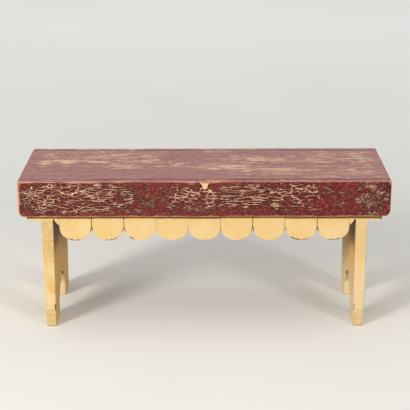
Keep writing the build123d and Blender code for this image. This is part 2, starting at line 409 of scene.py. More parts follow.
class Finish(Tree):
    """A material with one principled shader."""

    def __init__(self, name):
        self.material = bpy.data.materials.new(name)
        super().__init__(self.material)
        self.shader = self.add("BsdfPrincipled", {})
        self.add("OutputMaterial", {0: self.shader.outputs[0]})

    def cracks(self, flat, net, density, width):
        """A net of crooked cracks: 1 in a crack, the way to one, and how level it is.

        The net is measured in cells, and its density is in cells to a metre.
        """
        def edge(shift):
            spot = self.vector("ADD", flat, shift)
            moved = self.vector("ADD", net, self.vector("MULTIPLY", density, shift))
            for scale, reach in crack_bends:
                push = self.noise(spot, scale, 2.0, 0.6, colour=True)
                push = self.vector("SUBTRACT", push, (0.5, 0.5, 0.5))
                moved = self.vector("ADD", moved, self.vector("MULTIPLY", push, reach))
            return self.add("TexVoronoi", {"Vector": moved, "Scale": 1.0, "Randomness": 1.0},
                            voronoi_dimensions="2D", feature="DISTANCE_TO_EDGE").outputs[0]

        here = edge((0, 0, 0))
        right = self.minus(edge((crack_probe, 0, 0)), here)
        up = self.minus(edge((0, crack_probe, 0)), here)
        steep = self.math("SQRT", self.plus(self.times(right, right), self.times(up, up)))
        gap = self.over(here, self.most(self.over(steep, crack_probe), 1.0))
        line = self.step(gap, self.times(width, 1.25), self.times(width, 0.55))
        level = self.over(self.math("ABSOLUTE", up), self.most(steep, 1e-9))
        return line, gap, level

    def finish(self, colour, rough, height, depth, strength=1.0, **constants):
        bump = self.add("Bump", {"Strength": strength, "Distance": depth, "Height": height})
        self.links.new(colour, self.shader.inputs["Base Color"])
        self.links.new(rough, self.shader.inputs["Roughness"])
        self.links.new(bump.outputs[0], self.shader.inputs["Normal"])
        for key, value in constants.items():
            self.shader.inputs[key.replace("_", " ")].default_value = value
        return self.material


burgundy = tint(89, 17, 18)
burgundy_deep = tint(60, 11, 13)
burgundy_bright = tint(115, 28, 25)
faded_sheen_red = tint(168, 105, 92)
faded_sheen_dusk = tint(118, 53, 47)
undercoat = tint(252, 203, 167)
undercoat_pink = tint(200, 117, 99)
undercoat_tan = tint(198, 157, 126)
streak_cream = tint(240, 207, 172)
edge_cream = tint(240, 194, 150)
edge_orange = tint(208, 146, 102)
edge_pink = tint(190, 122, 106)
edge_rose = tint(232, 186, 168)
bare_cream = tint(250, 220, 168)
bare_tan = tint(176, 138, 104)
crack_shadow = tint(40, 10, 9)
seam_dirt_and_shade = tint(78, 26, 23)
# The finer net's cells to a metre, half the widest crack of each net and how far its dark halo reaches
fine_density = (1 / 0.0086, 1 / 0.0046, 0.0)
net_widest, fine_widest = 0.98 * MM, 0.42 * MM
net_halo, fine_halo, least_halo = 5.6 * MM, 3.4 * MM, 0.8 * MM
# How cracks bend: waves to a metre, and cells along each axis; and the step that finds their slope
crack_bends = ((60.0, (1.1, 1.1, 0.0)), (260.0, (0.25, 0.4, 0.0)))
crack_probe = 0.3 * MM


def burgundy_paint(name, gloss):
    """Burgundy over a cream undercoat, crackled, rubbed through at the arrises and along the top, faded and
    lighter on top partly as a painted sheen.
    """
    f = Finish(name)
    flat = f.attribute("flat", "Vector")
    net = f.attribute("net", "Vector")
    density = f.attribute("crack_density", "Vector")
    crack = f.split(f.attribute("crack", "Vector"))
    layers = ("rim", "edge", "bare", "wear", "faded", "seam", "rosy")
    rim, edge, bare, wear, faded, seam, rosy = map(f.attribute, layers)
    split = f.split(f.attribute("split", "Vector"))

    slow = f.grain(flat, (9.0, 26.0, 1.0), 3.0)
    fine = f.grain(flat, (60.0, 900.0, 1.0), 4.0, 0.65)
    speck = f.grain(flat, (90.0, 430.0, 1.0), 2.0, 0.6)
    patchy = f.noise(flat, 34.0, 3.0, 0.6)
    broken = f.grain(flat, (38.0, 62.0, 1.0), 4.0, 0.65)
    ragged = f.noise(flat, 150.0, 2.0, 0.6)
    streak = f.grain(flat, (6.0, 64.0, 1.0), 5.0, 0.65)
    grainy = f.grain(flat, (90.0, 170.0, 1.0), 3.0, 0.7)

    fresh = f.mix(f.step(slow, 0.36, 0.66), burgundy, burgundy_bright)
    fresh = f.mix(f.step(patchy, 0.46, 0.72), fresh, burgundy_deep)
    fresh = f.mix(f.step(ragged, 0.5, 0.68, 0.0, 0.7), fresh, burgundy_deep)
    fresh = f.mix(f.step(ragged, 0.48, 0.32, 0.0, 0.6), fresh, burgundy_bright)
    mottle = f.plus(f.times(streak, 0.4), f.times(grainy, 0.6))
    # Faded paint, lighter partly as a painted sheen, on the top, the face boards' top edges and the seat's
    # ends
    faded_and_sheen_tone = f.mix(f.step(mottle, 0.36, 0.64), faded_sheen_dusk, faded_sheen_red)
    colour = f.mix(faded, fresh, faded_and_sheen_tone)
    colour = f.mix(f.step(fine, 0.56, 0.78, 0.0, 0.4), colour, burgundy_deep)
    colour = f.mix(f.step(speck, 0.53, 0.66, 0.0, 0.66), colour, undercoat_pink)

    jagged = f.times(f.minus(broken, 0.5), 2.2)
    vary = f.times(f.step(patchy, 0.3, 0.7, 0.65, 1.3), f.step(ragged, 0.34, 0.64, 0.55, 1.35))
    cell_shape = f.split(density)
    long_cells = f.step(f.over(cell_shape[0], cell_shape[1]), 0.3, 0.14)
    lines, halos = [], []
    fine_net = f.vector("MULTIPLY", flat, fine_density)
    nets = ((net, density, f.times(crack[2], net_widest), net_halo),
            (fine_net, fine_density, fine_widest, fine_halo))
    for part, (spot, cells, widest, beside) in enumerate(nets):
        shown = f.step(f.plus(crack[part], jagged), 0.15, 0.95)
        width = f.times(f.times(f.step(shown, 0.0, 1.0, 0.35, 1.0), vary), widest)
        width = f.times(width, f.step(long_cells, 0.0, 1.0, 1.0, 1.6))
        line, gap, level = f.cracks(flat, spot, cells, width)
        upright = f.times(long_cells, f.step(level, 0.9, 0.5, 0.0, 0.85))
        line = f.times(line, f.minus(1.0, upright))
        lines.append(f.times(line, f.step(shown, 0.02, 0.7)))
        dark = f.step(gap, f.times(f.step(long_cells, 0.0, 1.0, 1.0, 1.6), beside), least_halo)
        halos.append(f.times(dark, f.step(shown, 0.0, 0.6)))
    line = f.most(lines[0], split[0], f.times(lines[1], 0.5))
    halo = f.most(halos[0], split[1], f.times(halos[1], 0.6))
    colour = f.mix(halo, colour, crack_shadow)
    open_crack = f.mix(f.step(f.plus(broken, f.times(split[0], 0.3)), 0.38, 0.62),
                       undercoat_pink, undercoat)
    colour = f.mix(f.times(line, 0.96), colour, open_crack)

    drag = f.grain(flat, (15.0, 105.0, 1.0), 6.0, 0.7)
    thin = f.grain(flat, (15.0, 150.0, 1.0), 4.0, 0.65)
    waves = f.grain(flat, (8.0, 40.0, 1.0), 3.0, 0.6)
    cloud = f.plus(f.times(drag, 0.9), f.times(broken, 0.4))
    cloud = f.plus(cloud, f.times(grainy, 0.45))
    soft = f.step(f.plus(cloud, f.times(wear, 0.34)), 1.0, 1.38, 0.0, 0.46)
    soft = f.times(soft, f.step(wear, 0.0, 0.25, 0.35, 1.0))
    sharp = f.step(f.plus(thin, f.times(wear, 0.16)), 0.66, 0.77, 0.0, 0.85)
    ridge = f.step(f.math("ABSOLUTE", f.minus(waves, 0.5)), 0.05, 0.016)
    lifted = f.step(f.plus(drag, f.times(wear, 0.2)), 0.56, 0.72, 0.0, 0.92)
    ridge = f.times(ridge, lifted)
    sharp = f.times(f.most(sharp, ridge), f.step(wear, 0.05, 0.5))
    colour = f.mix(soft, colour, undercoat_tan)
    colour = f.mix(sharp, colour, streak_cream)
    rubbed = f.most(line, sharp, soft)

    reach = f.times(edge, f.minus(f.times(patchy, 5.2 * MM), 0.5 * MM))
    pale = f.step(rim, f.plus(reach, 1.4 * MM), reach)
    worn = f.step(rim, reach, f.times(reach, 0.5))
    worn = f.times(worn, f.step(edge, 0.05, 0.4))
    worn_tone = f.mix(f.step(speck, 0.4, 0.6), f.mix(rosy, edge_orange, edge_pink),
                      f.mix(rosy, edge_cream, edge_rose))
    colour = f.mix(f.times(f.times(pale, edge), 0.5), colour, undercoat_pink)
    colour = f.mix(f.times(worn, 0.85), colour, worn_tone)
    # Dirt in the seams, and the chip's painted shadow
    colour = f.mix(f.times(seam, f.step(fine, 0.2, 0.6, 0.75, 1.0)), colour, seam_dirt_and_shade)
    bare_tone = f.mix(faded, f.mix(f.step(fine, 0.4, 0.7), bare_cream, edge_cream), bare_tan)
    colour = f.mix(f.step(bare, 0.38, 0.6), colour, bare_tone)

    lost = f.most(rubbed, worn, bare)
    rough = f.plus(f.step(lost, 0.0, 1.0, 0.36, 0.62), f.times(fine, 0.1))
    rough = f.most(rough, f.times(seam, 0.98))
    height = f.plus(f.times(lost, -1.0), f.times(fine, 0.35))
    return f.finish(colour, rough, height, 0.45 * MM, 0.6, Specular_IOR_Level=gloss)


yellow = tint(247, 215, 151)
yellow_light = tint(251, 228, 178)
yellow_deep = tint(234, 192, 116)
yellow_stain = tint(240, 188, 98)
grime_and_shade_brown = tint(98, 61, 15)
painted_shade_ochre = tint(243, 210, 80)
worn_and_lit_cream = tint(250, 232, 196)


def yellow_paint(name):
    """Brushed pale yellow paint, stained and grimy in places, chipped along its arrises, with painted shade
    and painted light where the legs and the apron lie in shade or in light.
    """
    f = Finish(name)
    flat = f.attribute("flat", "Vector")
    layers = ("rim", "stain", "grime", "shade", "bleached")
    rim, stain, grime, shade, bleached = map(f.attribute, layers)

    slow = f.noise(flat, 16.0, 3.0, 0.55)
    brush = f.grain(flat, (640.0, 26.0, 1.0), 4.0, 0.6)
    grain = f.grain(flat, (150.0, 5.0, 1.0), 3.0, 0.6, 0.6)
    speck = f.noise(flat, 420.0, 2.0, 0.6)
    patchy = f.noise(flat, 75.0, 3.0, 0.6)

    colour = f.mix(f.step(slow, 0.4, 0.72, 0.0, 0.6), yellow, yellow_light)
    colour = f.mix(f.step(grain, 0.5, 0.75, 0.0, 0.3), colour, yellow_deep)
    colour = f.mix(f.step(brush, 0.5, 0.8, 0.0, 0.22), colour, yellow_deep)
    colour = f.mix(f.step(speck, 0.7, 0.76, 0.0, 0.4), colour, yellow_stain)
    blot = f.plus(stain, f.times(f.minus(patchy, 0.5), 0.6))
    colour = f.mix(f.step(blot, 0.12, 0.95, 0.0, 0.85), colour, yellow_stain)
    ragged = f.minus(f.times(patchy, 3.0 * MM), 0.9 * MM)
    worn = f.step(rim, ragged, f.times(ragged, 0.3))
    colour = f.mix(f.times(worn, 0.6), colour, worn_and_lit_cream)
    # Paler where worn; also painted light, a brighter cream on the arch walls near the floor and on the right
    # leg's lower inner face, and paler at middle height on the legs' front edges
    colour = f.mix(f.times(bleached, f.step(brush, 0.25, 0.75, 0.5, 1.0)), colour, worn_and_lit_cream)
    # Painted shade: the paint is multiplied by a golden shade colour, strongly on the legs' inner faces and
    # faintly on the staves and the legs' upper front edges; the golden tint stands in for the light the
    # yellow parts throw on each other
    colour = f.mix(shade, colour, painted_shade_ochre, "MULTIPLY")
    # Dirt and painted shade in one brown: under the seat, in the staves' joints, in the legs' nicks, at the
    # tops of the arches and on the legs' inner faces near the seat
    soil_and_shade = f.times(grime, f.step(patchy, 0.2, 0.62, 0.72, 1.0))
    colour = f.mix(f.step(soil_and_shade, 0.15, 0.85, 0.0, 0.9), colour, grime_and_shade_brown)

    rough = f.plus(f.step(worn, 0.0, 1.0, 0.52, 0.66), f.times(brush, 0.12))
    height = f.plus(f.times(brush, 0.6),
                    f.plus(f.times(grain, 0.5), f.times(worn, -0.7)))
    return f.finish(colour, rough, height, 0.3 * MM, 0.5, Specular_IOR_Level=0.2)


pine = tint(214, 176, 122)
pine_dark = tint(172, 124, 74)
pine_pale = tint(230, 200, 152)
pine_aged = tint(92, 62, 30)


def bare_pine(name, along, age):
    """Unpainted pine with its grain along one axis, browner with age."""
    f = Finish(name)
    stretch = tuple(4.0 if axis == along else 46.0 for axis in range(3))
    spot = f.vector("MULTIPLY", f.place(), stretch)
    rings = f.noise(spot, 1.0, 4.0, 0.6, 0.9)
    bands = f.math("FRACT", f.times(rings, 9.0))
    fibre = f.grain(spot, (12.0, 12.0, 12.0), 3.0, 0.6)
    slow = f.noise(f.place(), 11.0, 2.0)
    colour = f.mix(f.step(slow, 0.35, 0.65), pine, pine_pale)
    colour = f.mix(f.step(bands, 0.55, 1.0, 0.0, 0.65), colour, pine_dark)
    colour = f.mix(f.step(fibre, 0.5, 0.8, 0.0, 0.3), colour, pine_dark)
    colour = f.mix(f.step(slow, 0.2, 0.8, age, age * 0.8), colour, pine_aged)
    rough = f.step(fibre, 0.2, 0.8, 0.6, 0.8)
    height = f.plus(f.times(bands, 0.4), fibre)
    return f.finish(colour, rough, height, 0.3 * MM, 0.5)


def screw_steel(name):
    """Dull zinc-plated steel with a spotty bloom."""
    f = Finish(name)
    bloom = f.noise(f.place(), 700.0, 3.0, 0.6)
    scratch = f.grain(f.place(), (300.0, 2600.0, 900.0), 3.0)
    colour = f.mix(f.step(bloom, 0.35, 0.7), tint(176, 172, 160), tint(138, 128, 108))
    rough = f.plus(f.step(bloom, 0.3, 0.7, 0.28, 0.5), f.times(scratch, 0.1))
    return f.finish(colour, rough, scratch, 0.05 * MM, 0.4, Metallic=1.0)


face_paint = burgundy_paint("burgundy_face", 0.28)
top_paint = burgundy_paint("burgundy_top", 0.5)
apron_paint = yellow_paint("yellow_apron")
pine_along = bare_pine("pine_along", 0, 0.1)
pine_across = bare_pine("pine_across", 1, 0.1)
# The rails are much browner: age, and painted shade where they show in the dark wedges beside the legs
pine_rail_aged_and_shaded = bare_pine("pine_rail_aged_and_shaded", 0, 0.9)
steel = screw_steel("screw_steel")


# ---------------------------------------------------------------- seat

FRONT = ((1, 0, 0), (0, 0, 1), (0, -1, 0))
BACK = ((-1, 0, 0), (0, 0, 1), (0, 1, 0))
UP = ((1, 0, 0), (0, 1, 0), (0, 0, 1))
LEFT = ((0, -1, 0), (0, 0, 1), (-1, 0, 0))
RIGHT = ((0, 1, 0), (0, 0, 1), (1, 0, 0))

# Islands between the cracks, along a board: place, width and height in millimetres
front_cells = (
    (-500, 9, 5), (-460, 12, 6), (-432, 22, 8), (-340, 25, 9), (-300, 32, 6.6), (-195, 30, 5.6),
    (-160, 10, 5), (-112, 13, 6.5), (-74, 20, 9.5), (20, 18, 10), (46, 50, 7), (140, 64, 7),
    (172, 30, 9.5), (310, 31, 11), (345, 30, 6.5), (405, 11, 5.4), (500, 10, 5.4),
)
back_cells = tuple((-x, wide, tall) for x, wide, tall in reversed(front_cells))
top_cells = ((-500, 22, 9), (500, 22, 9))
end_cells = ((-500, 15, 6.5), (500, 15, 6.5))
# Where a board shows these cracks, and a finer net: box in millimetres, and how strongly
front_zones = (
    (((-499, -240, 336, 421), 0.94), ((-260, -150, 340, 418), 0.62), ((-180, -90, 346, 390), 0.42),
     ((-112, 56, 352, 408), 0.84), ((-60, 140, 400, 421), 0.5), ((46, 160, 354, 414), 1.0),
     ((140, 318, 346, 421), 0.72), ((318, 400, 352, 406), 0.42), ((404, 497, 336, 421), 0.72)),
    (((-499, 499, 327, 422), 0.28), ((-499, -430, 328, 420), 0.5), ((-430, -200, 328, 352), 0.44),
     ((-160, -80, 340, 390), 0.4), ((-64, 84, 330, 372), 0.46), ((404, 499, 328, 421), 0.48),
     ((150, 320, 332, 356), 0.34), ((6, 150, 390, 421), 0.5)),
)
back_zones = tuple(tuple(((-b, -a, c, d), s) for (a, b, c, d), s in layer) for layer in front_zones)
top_crack_zones = (
    (((146, 262, -84, -20), 0.35), ((-10, 140, -50, 4), 0.3), ((-410, -170, -24, 84), 0.25)),
    (((-456, -390, -10, 36), 0.4), ((404, 460, -24, 132), 0.3)),
)
end_zones = (
    (((-150, 0, 346, 408), 0.6), ((0, 150, 346, 408), 0.5)),
    (((-150, 150, 344, 408), 0.46),),
)
crack_zone_soft = (46 * MM, 12 * MM)
# The ruler along which the cells change, its samples and how many of them each change is spread over
net_reach, net_samples, net_blur = 0.53, 1061, 31
# How broad a crack is for the height of its cells in millimetres, and the least and the most
crack_breadth, least_breadth, most_breadth = 0.106, 0.45, 1.04

# The chip in the front's top edge, in millimetres: height and half width, and how ragged it is
chip_middle = 1.6
chip_foot = (402.5, 404)
chip_shape = ((402, 405, 408, 416.5, 421, 424, 432), (1.0, 4.6, 6.2, 8.2, 12.5, 15.5, 15.5))
chip_ragged = ((404, 409, 420), (2.4, 1.0, 0.6))
chip_depth, chip_top = 0.8 * MM, 421 * MM
chip_knock, chip_knock_soft = 4 * MM, (5 * MM, 1 * MM)
chip_knock_box = (-8, 12, 420, 430)
# Bare spots near the chip: middle, half sizes and slant in millimetres and degrees
chip_spots = (
    (-8.6, 404.6, 2.4, 3.0, 0), (16, 398.6, 9.5, 3.0, -30), (-34.5, 388, 2.6, 2.6, 0), (-462, 409, 2.6, 9, 4),
)
# Painted shadows beside the chip, in the same terms
chip_shadows = ((-15, 414.5, 9, 5, 0), (13, 414.5, 5.5, 6, 0), (4, 402, 6, 3, 0))
chip_blush = (-23, 392, 12, 6, 0)
# Single wide cracks of the front: half width, then points along each, in millimetres
wide_cracks = (
    (0.7, (-388, 397), (-372, 391), (-356, 388)),
    (0.9, (-354, 388), (-343, 396.5), (-328, 397.5), (-320, 403)),
    (0.8, (-328, 397.5), (-317, 393), (-309, 387)),
    (1.0, (268.6, 405), (274, 410), (281, 414)),
    (0.9, (268.6, 405), (279, 398.5), (287, 395), (300, 394)),
    (0.8, (268.6, 405), (258, 403.5), (248, 404)),
    (0.7, (248, 404), (244, 410), (237, 413)),
    (0.9, (232, 386), (241, 380), (256, 373)),
)
# Boxes of the front with a finer mesh, in millimetres, and its spacing
front_fine = (((-42, 30, 384, 423.5), 0.9), ((-393, -304, 381, 409), 1.1), ((226, 305, 367, 419), 1.1))
# Where the front's top edge is worn palest: place and reach along it in millimetres, and how much
top_edge_wear = ((-338, 30, 1.2), (-300, 16, 0.8), (-232, 20, 0.6), (-36, 20, 1.0), (24, 14, 0.8))

# Where the top is rubbed through: box in millimetres, and how strongly
top_zones = (
    ((-470, -110, -30, 145), 0.5), ((-110, 80, -44, 60), 0.5), ((60, 270, -98, 84), 0.56),
    ((270, 492, -134, 138), 0.46),
    ((-470, -346, -8, 46), 0.95), ((-346, -262, 52, 90), 0.85), ((-337, -240, 108, 142), 0.75),
    ((-328, -262, 6, 32), 1.05), ((-260, -172, 30, 44), 1.05), ((-273, -172, -40, 18), 0.85),
    ((-199, -148, 28, 44), 1.05), ((-199, -102, -27, -11), 1.05), ((-92, -35, -4, 16), 0.75),
    ((-27, 138, -54, 10), 0.85), ((-6, 79, 120, 140), 1.0), ((95, 138, 44, 60), 0.85),
    ((122, 243, 24, 62), 0.95), ((243, 347, 6, 50), 0.8), ((150, 251, -90, -26), 0.85),
    ((304, 430, -90, -50), 0.75), ((312, 366, 98, 114), 0.65), ((404, 470, -20, 125), 0.6),
)
top_zone_soft = (26 * MM, 9 * MM)
# Flakes off the back top board: box in millimetres, their number, and the box and spacing of a finer mesh
fleck_box, fleck_count = (404, 458, 6, 125), 34
fleck_fine = ((398, 466, 4, 132), 1.5)


def box_mm(*marks):
    return tuple(m * MM for m in marks)


def fine_boxes(marks):
    return [(*box_mm(*box), step * MM) for box, step in marks]


def net_values(board, cells):
    """Where each point lies in a crack net whose cells change along the board, and the cells to a metre."""
    place, wide, tall = np.array(cells).T * MM
    ruler = np.linspace(-net_reach, net_reach, net_samples)
    window = np.hanning(net_blur) / np.hanning(net_blur).sum()
    across, up = (np.convolve(np.interp(ruler, place, 1 / size), window, "same") for size in (wide, tall))
    total = np.cumsum(across) * (ruler[1] - ruler[0])
    middle = (board.v.min() + board.v.max()) / 2
    net_u, density_u, density_v = (np.interp(board.flat_u, ruler, line) for line in (total, across, up))
    none = np.zeros(len(board.u))
    net = np.stack([net_u, (board.flat_v - middle) * density_v, none], 1)
    return net + board.seed, np.stack([density_u, density_v, none], 1)


def crack_values(board, cells, zones):
    shown = []
    for number, layer in enumerate(zones):
        total = np.zeros(len(board.u))
        for marks, strength in layer:
            zone = patch(board.flat_u, board.flat_v, box_mm(*marks), crack_zone_soft)
            total = np.maximum(total, strength * zone)
        shown.append(total * (0.92 + 0.2 * wander(board.flat_u, board.flat_v * 2, 0.06, board.seed + number)))
    net, density = net_values(board, cells)
    broad = np.clip(crack_breadth / MM / density[:, 1], least_breadth, most_breadth)
    return {"crack": np.stack([*shown, broad], 1), "net": net, "crack_density": density}


def seat_values(board, cells, zones, **layers):
    """All that the burgundy paint reads, with empty layers for what a board doesn't have."""
    count = len(board.u)
    empty = {key: np.zeros(count) for key in ("bare", "wear", "faded", "edge", "rosy", "seam")}
    return {**crack_values(board, cells, zones), **empty, "split": np.zeros((count, 3)), **layers}


def blob(board, u, v, half_u, half_v, turn=0.0):
    """1 in the middle of a slanted oval, 0 at its edge and beyond."""
    du, dv = board.flat_u - u * MM, board.flat_v - v * MM
    c, s = math.cos(math.radians(turn)), math.sin(math.radians(turn))
    along, across = (du * c + dv * s) / (half_u * MM), (dv * c - du * s) / (half_v * MM)
    return np.clip(1 - np.hypot(along, across), 0, 1)


def flecks(board, box, count, seed):
    """Small slanted spots where the paint has flaked off."""
    draw = np.random.default_rng(seed)
    total = np.zeros(len(board.u))
    for _ in range(count):
        u, v = draw.uniform(box[0], box[1]), draw.uniform(box[2], box[3])
        size, turn = draw.uniform(1.2, 2.6), draw.uniform(-70, 70)
        spot = blob(board, u, v, size * draw.uniform(1.0, 2.6), size, turn)
        total = np.maximum(total, smooth(0.05, 0.5, spot))
    return total


def near_line(x, z, start, end):
    """How far along a straight line each point lies, from 0 to 1, and how far off it."""
    (x0, z0), (x1, z1) = start, end
    wide, tall = x1 - x0, z1 - z0
    along = np.clip(((x - x0) * wide + (z - z0) * tall) / (wide ** 2 + tall ** 2), 0, 1)
    return along, np.hypot(x - x0 - along * wide, z - z0 - along * tall)


def strokes(board, marks, seed):
    """Wide cracks along chains of points: 1 in a crack, and 1 close beside it."""
    x = board.flat_u / MM + 1.5 * wander(board.flat_u, board.flat_v, 0.01, seed)
    z = board.flat_v / MM + 1.5 * wander(board.flat_u, board.flat_v, 0.01, seed + 1)
    line, beside = np.zeros(len(x)), np.zeros(len(x))
    for half, *spots in marks:
        for start, end in zip(spots, spots[1:]):
            _, gap = near_line(x, z, start, end)
            line = np.maximum(line, smooth(half * 1.4, half * 0.6, gap))
            beside = np.maximum(beside, smooth(half * 3.2, half * 1.2, gap))
    return np.stack([line, beside, 0 * line], 1)


def face_outline(low, high):
    r, t, step = face_corner, face_top_corner, face_step
    k = math.sqrt(0.5)
    (x0, z0), (x1, z1) = (low.x, low.z), (high.x, high.z)
    return chain(
        (x0 + r, z0),
        ((x1 - r, z0), step),
        ((x1 - r + r * k, z0 + r - r * k), (x1, z0 + r), face_corner_step),
        ((x1, z1 - t), step),
        ((x1 - t + t * k, z1 - t + t * k), (x1 - t, z1), face_top_corner_step),
        ((x0 + t, z1), step),
        ((x0 + t - t * k, z1 - t + t * k), (x0, z1 - t), face_top_corner_step),
        ((x0, z0 + r), step),
        ((x0 + r - r * k, z0 + r - r * k), (x0 + r, z0), face_corner_step),
    )


def rectangle(u0, u1, v0, v1, step):
    return chain((u0, v0), ((u1, v0), step), ((u1, v1), step), ((u0, v1), step), ((u0, v0), step))


def face_edge(x, z, ragged, chipped):
    """How far a face board's arrises are worn: its ends, its lower edge and places along its top edge."""
    left, right = smooth(-490, -496, x), smooth(490, 496, x)
    corners = smooth(412, 420, z) + smooth(344, 332, z)
    # The front's left end is worn much paler than its right: partly a painted highlight where its rounded
    # corner faces the light
    ends = np.maximum(left * (1.7 if chipped else 0.5), right * np.clip(0.36 + 1.3 * corners, 0, 1.5))
    top = (0.4 + 0.45 * smooth(-390, -430, x)) * (1.0 if chipped else 0.25)
    for middle, reach, more in top_edge_wear if chipped else ():
        top += more * np.exp(-((x - middle) / reach) ** 2)
    return np.maximum(ends, ragged * (top * smooth(417, 421, z) + 1.3 * smooth(333, 329, z)))


def chip_values(board, x, z):
    """Bare wood in the chip and the spots near it, and the painted shadow beside them."""
    half = np.interp(z, *chip_shape)
    half += wander(board.flat_u, board.flat_v, 0.005, 5) * np.interp(z, *chip_ragged)
    bare = smooth(-0.8, 0.8, half - np.abs(x - chip_middle)) * smooth(*chip_foot, z)
    bare = bare * (1 - smooth(3.5 * MM, 5.5 * MM, board.depth))
    bare = most(bare, *(smooth(0.05, 0.5, blob(board, *mark)) for mark in chip_spots))
    chip_shade = most(*(smooth(0.0, 0.7, blob(board, *mark)) for mark in chip_shadows))
    return bare, chip_shade * (1 - smooth(0.1, 0.5, bare))


def make_face(name, ways, cells, zones, seed, chipped, paint):
    low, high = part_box(name)

    def arris(points):
        knocked = patch(points[:, 0], points[:, 1], box_mm(*chip_knock_box), chip_knock_soft)
        return face_arris + (chip_knock if chipped else 0) * knocked

    board = Board(face_outline(low, high), high.y - low.y, arris, face_step, seed=seed,
                  fine=fine_boxes(front_fine if chipped else ()))
    u, v = board.flat_u, board.flat_v
    slow, quick = wander(u, v, 0.16, seed) + 1, wander(u, v, 0.03, seed + 1) + 1
    board.press(slow * 0.18 * MM + quick * 0.05 * MM)
    x, z = u / MM, v / MM
    ragged = 1 + 0.25 * wander(u, v, 0.06, seed + 2)
    faded = smooth(0.1 * MM, 1.0 * MM, board.depth) * (board.v > 418 * MM)
    bare, chip_shade = np.zeros(len(u)), np.zeros(len(u))
    if chipped:
        bare, chip_shade = chip_values(board, x, z)
        board.press(bare * (board.v < chip_top) * chip_depth)
        blush = 0.9 * smooth(0.0, 0.6, blob(board, *chip_blush))
        faded = most(faded, 0.1 * smooth(200, -60, x), blush)
    inner = smooth(board.thickness - 3.5 * MM, board.thickness - 2.0 * MM, board.depth) * (z > 420)
    board.values = seat_values(
        board, cells, zones, bare=bare, faded=faded, wear=0.62 * smooth(426, 430, z),
        edge=face_edge(x, z, ragged, chipped), rosy=smooth(410, 416, z) * smooth(-560, -370, x),
        seam=np.maximum(0.9 * chip_shade, 0.7 * inner),
        split=strokes(board, wide_cracks if chipped else (), seed + 4))
    board.make(name, ways, paint, "burgundy_paint")


def make_top(name, seed):
    low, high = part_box(name)
    flaked = high.y > 10 * MM

    def arris(points):
        end = np.minimum(points[:, 0] - low.x, high.x - points[:, 0])
        return np.where(end < SAME, top_end_arris, top_arris)

    outline = rectangle(low.x, high.x, low.y, high.y, top_step)
    board = Board(outline, high.z - low.z, arris, top_step, seed=seed, uneven=0.25,
                  fine=fine_boxes([fleck_fine] if flaked else ()))
    u, v = board.flat_u, board.flat_v
    board.press((wander(u * 0.25, v, 0.11, seed) + 1) * 0.25 * MM)
    x = u / MM
    wear = most(*(strength * patch(u, v, box_mm(*marks), top_zone_soft) for marks, strength in top_zones))
    bare = flecks(board, fleck_box, fleck_count, seed) if flaked else np.zeros(len(u))
    front_dirt = 0.45 + 0.4 * smooth(-320, -280, x)
    front_dirt = front_dirt * (1 - smooth(-192, -187, x) * (1 - smooth(-178, -173, x)))
    near = 1 - smooth(2.8 * MM, 5.0 * MM, v - low.y)
    far = 1 - smooth(2 * MM, 4 * MM, high.y - v)
    ends = smooth(488, 494, np.abs(x))
    # The whole top faded and lighter, partly a painted sheen
    board.values = seat_values(
        board, top_cells, top_crack_zones, bare=bare, wear=wear, faded=1 - 0.9 * bare, edge=0.35 * ends,
        rosy=0.6 * ends, seam=np.maximum(near * (0.3 if flaked else front_dirt), 0.3 * far))
    board.make(name, UP, top_paint, "burgundy_paint")


def make_end(name, ways, seed):
    low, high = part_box(name)
    span = (high.y - low.y) / 2
    outline = rectangle(-span, span, low.z, high.z, top_step)
    board = Board(outline, high.x - low.x, end_arris, top_step, seed=seed)
    board.dent(0.12, 0.2 * MM, seed)
    even = np.ones(len(board.u))
    board.values = seat_values(board, end_cells, end_zones, faded=0.15 * even, edge=0.5 * even)
    board.make(name, ways, face_paint, "burgundy_paint")


make_face("seat_face_front", FRONT, front_cells, front_zones, 11, True, face_paint)
make_face("seat_face_back", BACK, back_cells, back_zones, 23, False, top_paint)
make_top("seat_top_front", 31)
make_top("seat_top_back", 37)
make_end("seat_end_left", LEFT, 41)
make_end("seat_end_right", RIGHT, 43)


# ---------------------------------------------------------------- apron

# Gaps between the front's staves in millimetres: in the CAD model, and as the photograph shows them
cad_joint_gap = 0.8
joint_gaps = (0.6, 1.7, 1.4, 0.4, 0.5, 0.8, 1.6, 1.0, 1.6, 0.7)
# Dark, worn stretches of the front staves' lower edges: from and to, in millimetres off the stave's middle
worn_edges = {1: (-20, 9), 2: (-6, 25), 3: (-30, -16), 8: (-26, 21), 9: (-11, 20)}
# How unevenly the staves end, and their arrises along the top and round the lower end
stave_end_spread = 0.7 * MM
stave_top_arris, stave_end_arris = 0.4 * MM, 1.4 * MM
# A dirty spot on the strips over the legs: place and reach in millimetres, and how strong it is
strip_spot, strip_spot_reach = (478, 314), 2.6
strip_spot_strength = {-1: 0.2, 1: 0.9}


def under_seat_dirt_and_shadow(v, top):
    """The dark line right under the seat's face board: dirt, and the painted shadow of the board's overhang.
    """
    return 1.3 * smooth(top - 8 * MM, top - 5.6 * MM, v)


